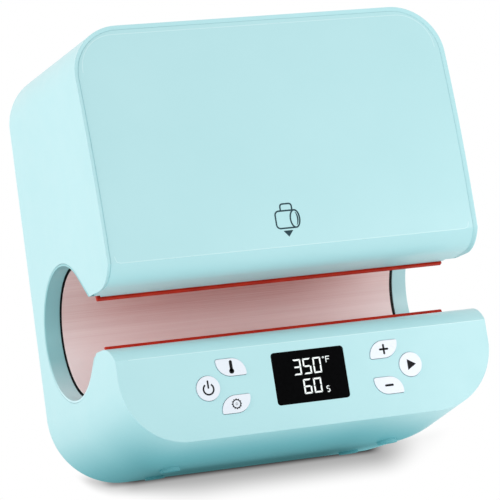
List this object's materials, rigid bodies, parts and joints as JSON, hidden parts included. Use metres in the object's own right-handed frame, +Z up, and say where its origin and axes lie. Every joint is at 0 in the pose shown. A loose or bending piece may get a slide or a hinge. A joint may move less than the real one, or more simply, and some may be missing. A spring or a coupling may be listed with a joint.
{
  "type": "tumbler heat press",
  "caption": "Free-standing heat press for sublimating tumblers and mugs: boxy body with a through tunnel, a front handle slot, two heated jaws and a key panel.",
  "frame": {"origin": "on the floor, under the middle of the bounding box", "axes": "+Z up, the control panel faces -Y, the tunnel runs along X"},
  "size_m": [0.3028, 0.176, 0.3182],
  "materials": {
    "mint_plastic": "gloss moulded",
    "black_rubber": "matt",
    "mint_rubber": "matt",
    "zinc_steel": "zinc plated sheet",
    "jaw_steel": "rolled sheet",
    "bright_steel": "turned",
    "gear_steel": "machined",
    "motor_metal": "drawn can",
    "felt": "glass fibre felt",
    "liner_pink": "coated glass cloth, fine lines along the tunnel",
    "red_silicone": "silicone",
    "green_board": "solder mask",
    "transformer_iron": "varnished laminations and coil",
    "black_plastic": "fine matt",
    "sink_aluminium": "extruded",
    "display_black": "clear over black",
    "white_keys": "gloss",
    "grey_cable": "flat cable",
    "red_wire": "silicone insulation",
    "pin_brass": "plain",
    "screw_steel": "zinc plated"
  },
  "bodies": {
    "press": {"board_screws": "screw_steel", "board_standoffs": "bright_steel", "capacitors": "motor_metal", "chassis_screws": "screw_steel", "control_board": "green_board", "display_module": "black_plastic", "display_window": "display_black", "gear_motor": "motor_metal", "heat_shield": "zinc_steel", "heat_sink": "sink_aluminium", "heater_mat": "red_silicone", "housing_shell": "mint_plastic", "inlet_pins": "pin_brass", "internal_wires": "red_wire", "left_gasket": "black_rubber", "left_side_plate": "zinc_steel", "left_tunnel_ring": "mint_plastic", "limit_switches": "black_plastic", "liner_sheet": "liner_pink", "lower_hinge_rod": "bright_steel", "mat_anchor_rail": "zinc_steel", "motor_bracket": "zinc_steel", "power_board": "green_board", "power_inlet": "black_plastic", "power_relays": "black_plastic", "rear_cover": "mint_plastic", "rear_cover_screws": "screw_steel", "rear_cross_plate": "zinc_steel", "ribbon_cable": "grey_cable", "right_gasket": "black_rubber", "right_side_plate": "zinc_steel", "right_tunnel_ring": "mint_plastic", "rocker_switch_body": "black_plastic", "rubber_feet": "mint_rubber", "tact_switches": "black_plastic", "transformer": "transformer_iron", "upper_front_cover": "mint_plastic", "upper_hinge_rod": "bright_steel"},
    "upper_jaw": {"upper_jaw_shell": "jaw_steel", "upper_jaw_insulation": "felt", "upper_lip_strip": "red_silicone", "upper_sector_gear": "gear_steel", "drive_sector_gear": "gear_steel", "thermal_fuse": "motor_metal"},
    "lower_jaw": {"lower_jaw_shell": "jaw_steel", "lower_jaw_insulation": "felt", "lower_lip_strip": "red_silicone", "lower_sector_gear": "gear_steel", "temperature_sensor": "motor_metal"},
    "motor_pinion": {"drive_pinion": "gear_steel"},
    "key_minus_button": {"key_minus": "white_keys"},
    "key_plus_button": {"key_plus": "white_keys"},
    "key_power_button": {"key_power": "white_keys"},
    "key_start_button": {"key_start": "white_keys"},
    "key_temperature_button": {"key_temperature": "white_keys"},
    "key_timer_button": {"key_timer": "white_keys"},
    "rocker_tab": {"rocker": "black_plastic"}
  },
  "joints": [
    {"name": "upper_jaw_hinge", "type": "hinge", "parent": "press", "child": "upper_jaw", "pos_m": [0, 0.0725, 0.119], "axis": [1, 0, 0], "range_deg": [0, 7.5], "deforming": ["heater_mat", "liner_sheet"]},
    {"name": "lower_jaw_hinge", "type": "hinge", "parent": "press", "child": "lower_jaw", "pos_m": [0, 0.0725, 0.101], "axis": [1, 0, 0], "range_deg": [-7.5, 0]},
    {"name": "pinion_shaft", "type": "hinge", "parent": "press", "child": "motor_pinion", "pos_m": [0, 0.06085, 0.16247], "axis": [1, 0, 0], "range_deg": [-30, 0]},
    {"name": "key_minus_push", "type": "slide", "parent": "press", "child": "key_minus_button", "axis": [0, 1, 0], "range_m": [0, 0.0008], "stiffness_N_per_m": 1500},
    {"name": "key_plus_push", "type": "slide", "parent": "press", "child": "key_plus_button", "axis": [0, 1, 0], "range_m": [0, 0.0008], "stiffness_N_per_m": 1500},
    {"name": "key_power_push", "type": "slide", "parent": "press", "child": "key_power_button", "axis": [0, 1, 0], "range_m": [0, 0.0008], "stiffness_N_per_m": 1500},
    {"name": "key_start_push", "type": "slide", "parent": "press", "child": "key_start_button", "axis": [0, 1, 0], "range_m": [0, 0.0008], "stiffness_N_per_m": 1500},
    {"name": "key_temperature_push", "type": "slide", "parent": "press", "child": "key_temperature_button", "axis": [0, 1, 0], "range_m": [0, 0.0008], "stiffness_N_per_m": 1500},
    {"name": "key_timer_push", "type": "slide", "parent": "press", "child": "key_timer_button", "axis": [0, 1, 0], "range_m": [0, 0.0008], "stiffness_N_per_m": 1500},
    {"name": "rocker_pivot", "type": "hinge", "parent": "press", "child": "rocker_tab", "pos_m": [0.062, 0.0797, 0.034], "axis": [1, 0, 0], "range_deg": [-14, 0]}
  ],
  "couplings": [
    {"joint": "lower_jaw_hinge", "follows": "upper_jaw_hinge", "ratio": -1},
    {"joint": "pinion_shaft", "follows": "upper_jaw_hinge", "ratio": -4}
  ]
}
